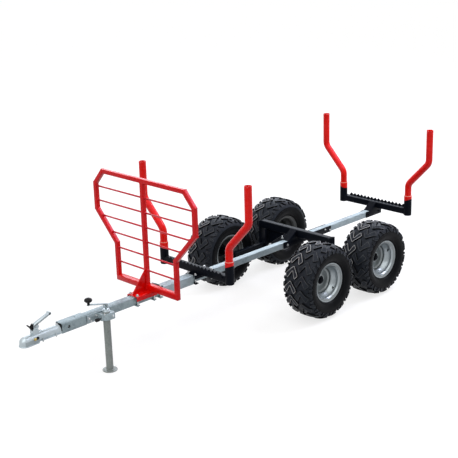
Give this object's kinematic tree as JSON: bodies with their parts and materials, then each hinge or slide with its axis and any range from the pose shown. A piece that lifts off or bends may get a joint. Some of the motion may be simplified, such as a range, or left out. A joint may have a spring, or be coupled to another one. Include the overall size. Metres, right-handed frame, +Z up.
{
  "type": "forestry trailer",
  "caption": "Small timber trailer with a telescoping square drawbar, red headboard, toothed bolsters with bent stakes, rocking tandem bogie and clamped jack.",
  "frame": {"origin": "on the ground, in the middle of the trailer's length and width", "axes": "+X forwards to the coupling, +Y to the left, +Z up"},
  "size_m": [3.6477, 1.278, 1.214],
  "materials": {
    "galvanised_steel": "hot-dip galvanised, satin",
    "red_paint": "gloss red powder coat",
    "black_paint": "satin black powder coat",
    "tyre_rubber": "matt rubber",
    "rim_steel": "silver, semi-gloss",
    "black_plastic": "moulded, matt",
    "jack_zinc": "bright zinc plate"
  },
  "bodies": {
    "frame": {"main_beam": "galvanised_steel", "drawbar": "galvanised_steel", "beam_sleeve": "galvanised_steel", "drawbar_bridge": "galvanised_steel", "headboard_frame": "red_paint", "headboard_post": "red_paint", "headboard_rods": "red_paint", "headboard_saddle": "red_paint", "headboard_gusset": "red_paint", "clamp_bars": "black_paint", "front_bolster": "black_paint", "front_bolster_teeth": "black_paint", "front_bolster_saddle": "black_paint", "rear_bolster": "black_paint", "rear_bolster_teeth": "black_paint", "rear_bolster_saddle": "black_paint", "axle_saddle": "black_paint", "axle_beam": "black_paint", "bogie_pins": "jack_zinc", "jack_clamp": "jack_zinc", "jack_clamp_handle": "black_plastic", "coupling_head": "galvanised_steel", "coupling_lever": "galvanised_steel"},
    "left_bogie": {"left_bogie_arm": "black_paint"},
    "left_front_wheel": {"left_front_tyre": "tyre_rubber", "left_front_rim": "rim_steel", "left_front_hub": "black_paint"},
    "left_rear_wheel": {"left_rear_tyre": "tyre_rubber", "left_rear_rim": "rim_steel", "left_rear_hub": "black_paint"},
    "right_bogie": {"right_bogie_arm": "black_paint"},
    "right_front_wheel": {"right_front_tyre": "tyre_rubber", "right_front_rim": "rim_steel", "right_front_hub": "black_paint"},
    "right_rear_wheel": {"right_rear_tyre": "tyre_rubber", "right_rear_rim": "rim_steel", "right_rear_hub": "black_paint"},
    "front_left_stake": {"front_left_stake": "red_paint"},
    "front_right_stake": {"front_right_stake": "red_paint"},
    "rear_left_stake": {"rear_left_stake": "red_paint"},
    "rear_right_stake": {"rear_right_stake": "red_paint"},
    "jack": {"jack_tube": "jack_zinc", "jack_crank": "jack_zinc", "crank_knob": "black_plastic"},
    "jack_foot_leg": {"jack_leg": "jack_zinc"}
  },
  "joints": [
    {"name": "left_bogie_pivot", "type": "hinge", "parent": "frame", "child": "left_bogie", "pos_m": [-0.76, 0.325, 0.2795], "axis": [0, 1, 0], "range_deg": [-20, 20]},
    {"name": "left_front_wheel_spin", "type": "hinge", "parent": "left_bogie", "child": "left_front_wheel", "pos_m": [-0.4325, 0.505, 0.2795], "axis": [0, 1, 0], "continuous": true},
    {"name": "left_rear_wheel_spin", "type": "hinge", "parent": "left_bogie", "child": "left_rear_wheel", "pos_m": [-1.0875, 0.505, 0.2795], "axis": [0, 1, 0], "continuous": true},
    {"name": "right_bogie_pivot", "type": "hinge", "parent": "frame", "child": "right_bogie", "pos_m": [-0.76, -0.325, 0.2795], "axis": [0, 1, 0], "range_deg": [-20, 20]},
    {"name": "right_front_wheel_spin", "type": "hinge", "parent": "right_bogie", "child": "right_front_wheel", "pos_m": [-0.4325, -0.505, 0.2795], "axis": [0, 1, 0], "continuous": true},
    {"name": "right_rear_wheel_spin", "type": "hinge", "parent": "right_bogie", "child": "right_rear_wheel", "pos_m": [-1.0875, -0.505, 0.2795], "axis": [0, 1, 0], "continuous": true},
    {"name": "front_left_stake_lift", "type": "slide", "parent": "frame", "child": "front_left_stake", "axis": [0, 0, 1], "range_m": [0, 0.09]},
    {"name": "front_right_stake_lift", "type": "slide", "parent": "frame", "child": "front_right_stake", "axis": [0, 0, 1], "range_m": [0, 0.09]},
    {"name": "rear_left_stake_lift", "type": "slide", "parent": "frame", "child": "rear_left_stake", "axis": [0, 0, 1], "range_m": [0, 0.09]},
    {"name": "rear_right_stake_lift", "type": "slide", "parent": "frame", "child": "rear_right_stake", "axis": [0, 0, 1], "range_m": [0, 0.09]},
    {"name": "jack_height", "type": "slide", "parent": "frame", "child": "jack", "axis": [0, 0, 1], "range_m": [0, 0.3]},
    {"name": "jack_screw", "type": "slide", "parent": "jack", "child": "jack_foot_leg", "axis": [0, 0, -1], "range_m": [0, 0.25]}
  ]
}
